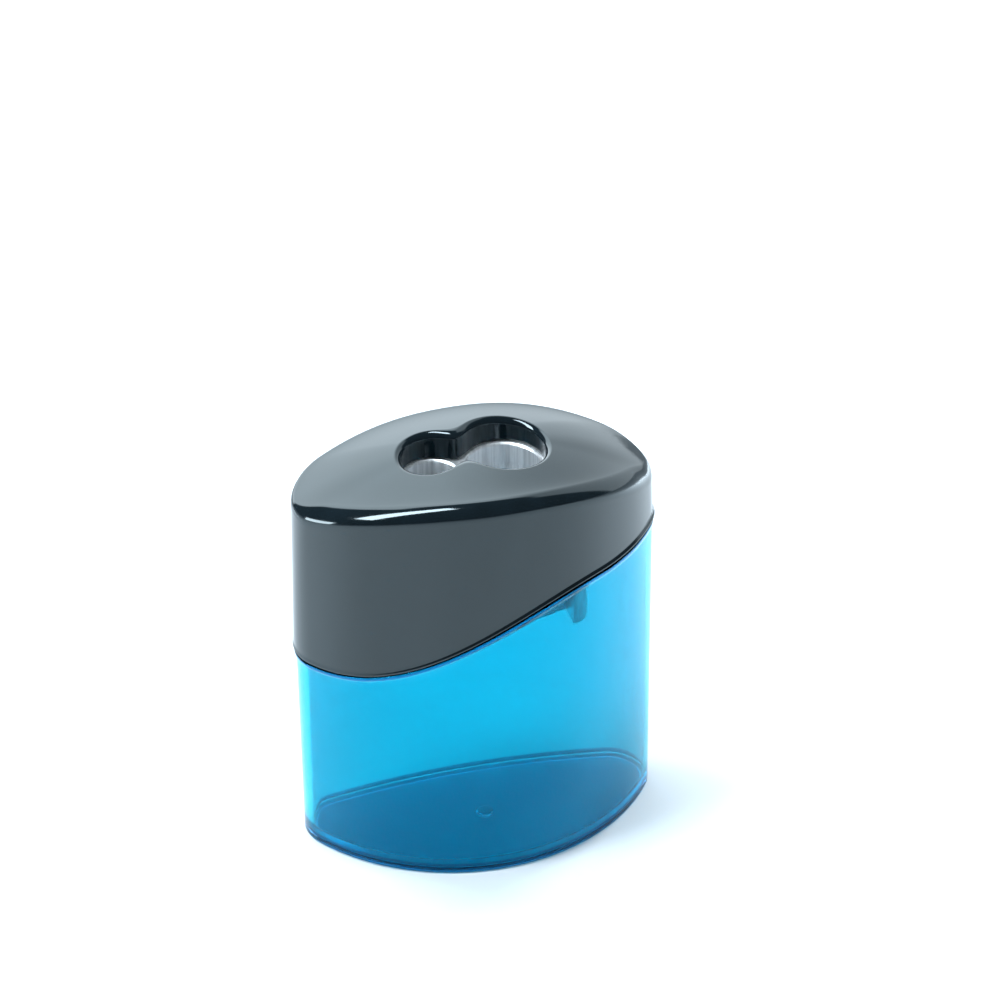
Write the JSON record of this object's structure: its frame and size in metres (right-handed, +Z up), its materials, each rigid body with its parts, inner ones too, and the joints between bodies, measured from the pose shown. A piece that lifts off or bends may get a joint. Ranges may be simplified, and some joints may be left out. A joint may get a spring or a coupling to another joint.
{
  "type": "double-hole pencil sharpener with shavings tub",
  "caption": "Pencil sharpener: a glossy domed lid with a small and a large pencil hole holds a metal block with blades, and lifts off a transparent tub that catches the shavings.",
  "frame": {"origin": "centre of the outline on the surface that the tub stands on", "axes": "+Z up, +X from the small pencil hole towards the large one, -Y towards the bulged front"},
  "size_m": [0.0506, 0.0254, 0.0625],
  "materials": {
    "tub_plastic": "clear blue, transparent, polished",
    "lid_plastic": "black, high gloss",
    "block_metal": "satin, machined",
    "blade_steel": "ground",
    "screw_steel": "bright"
  },
  "bodies": {
    "tub": {"tub": "tub_plastic"},
    "lid": {"lid": "lid_plastic", "sharpener_block": "block_metal", "small_blade": "blade_steel", "large_blade": "blade_steel", "small_blade_screw": "screw_steel", "large_blade_screw": "screw_steel"}
  },
  "joints": [
    {"name": "lid_lift", "type": "slide", "parent": "tub", "child": "lid", "axis": [0, 0, 1], "range_m": [0, 0.03]}
  ]
}
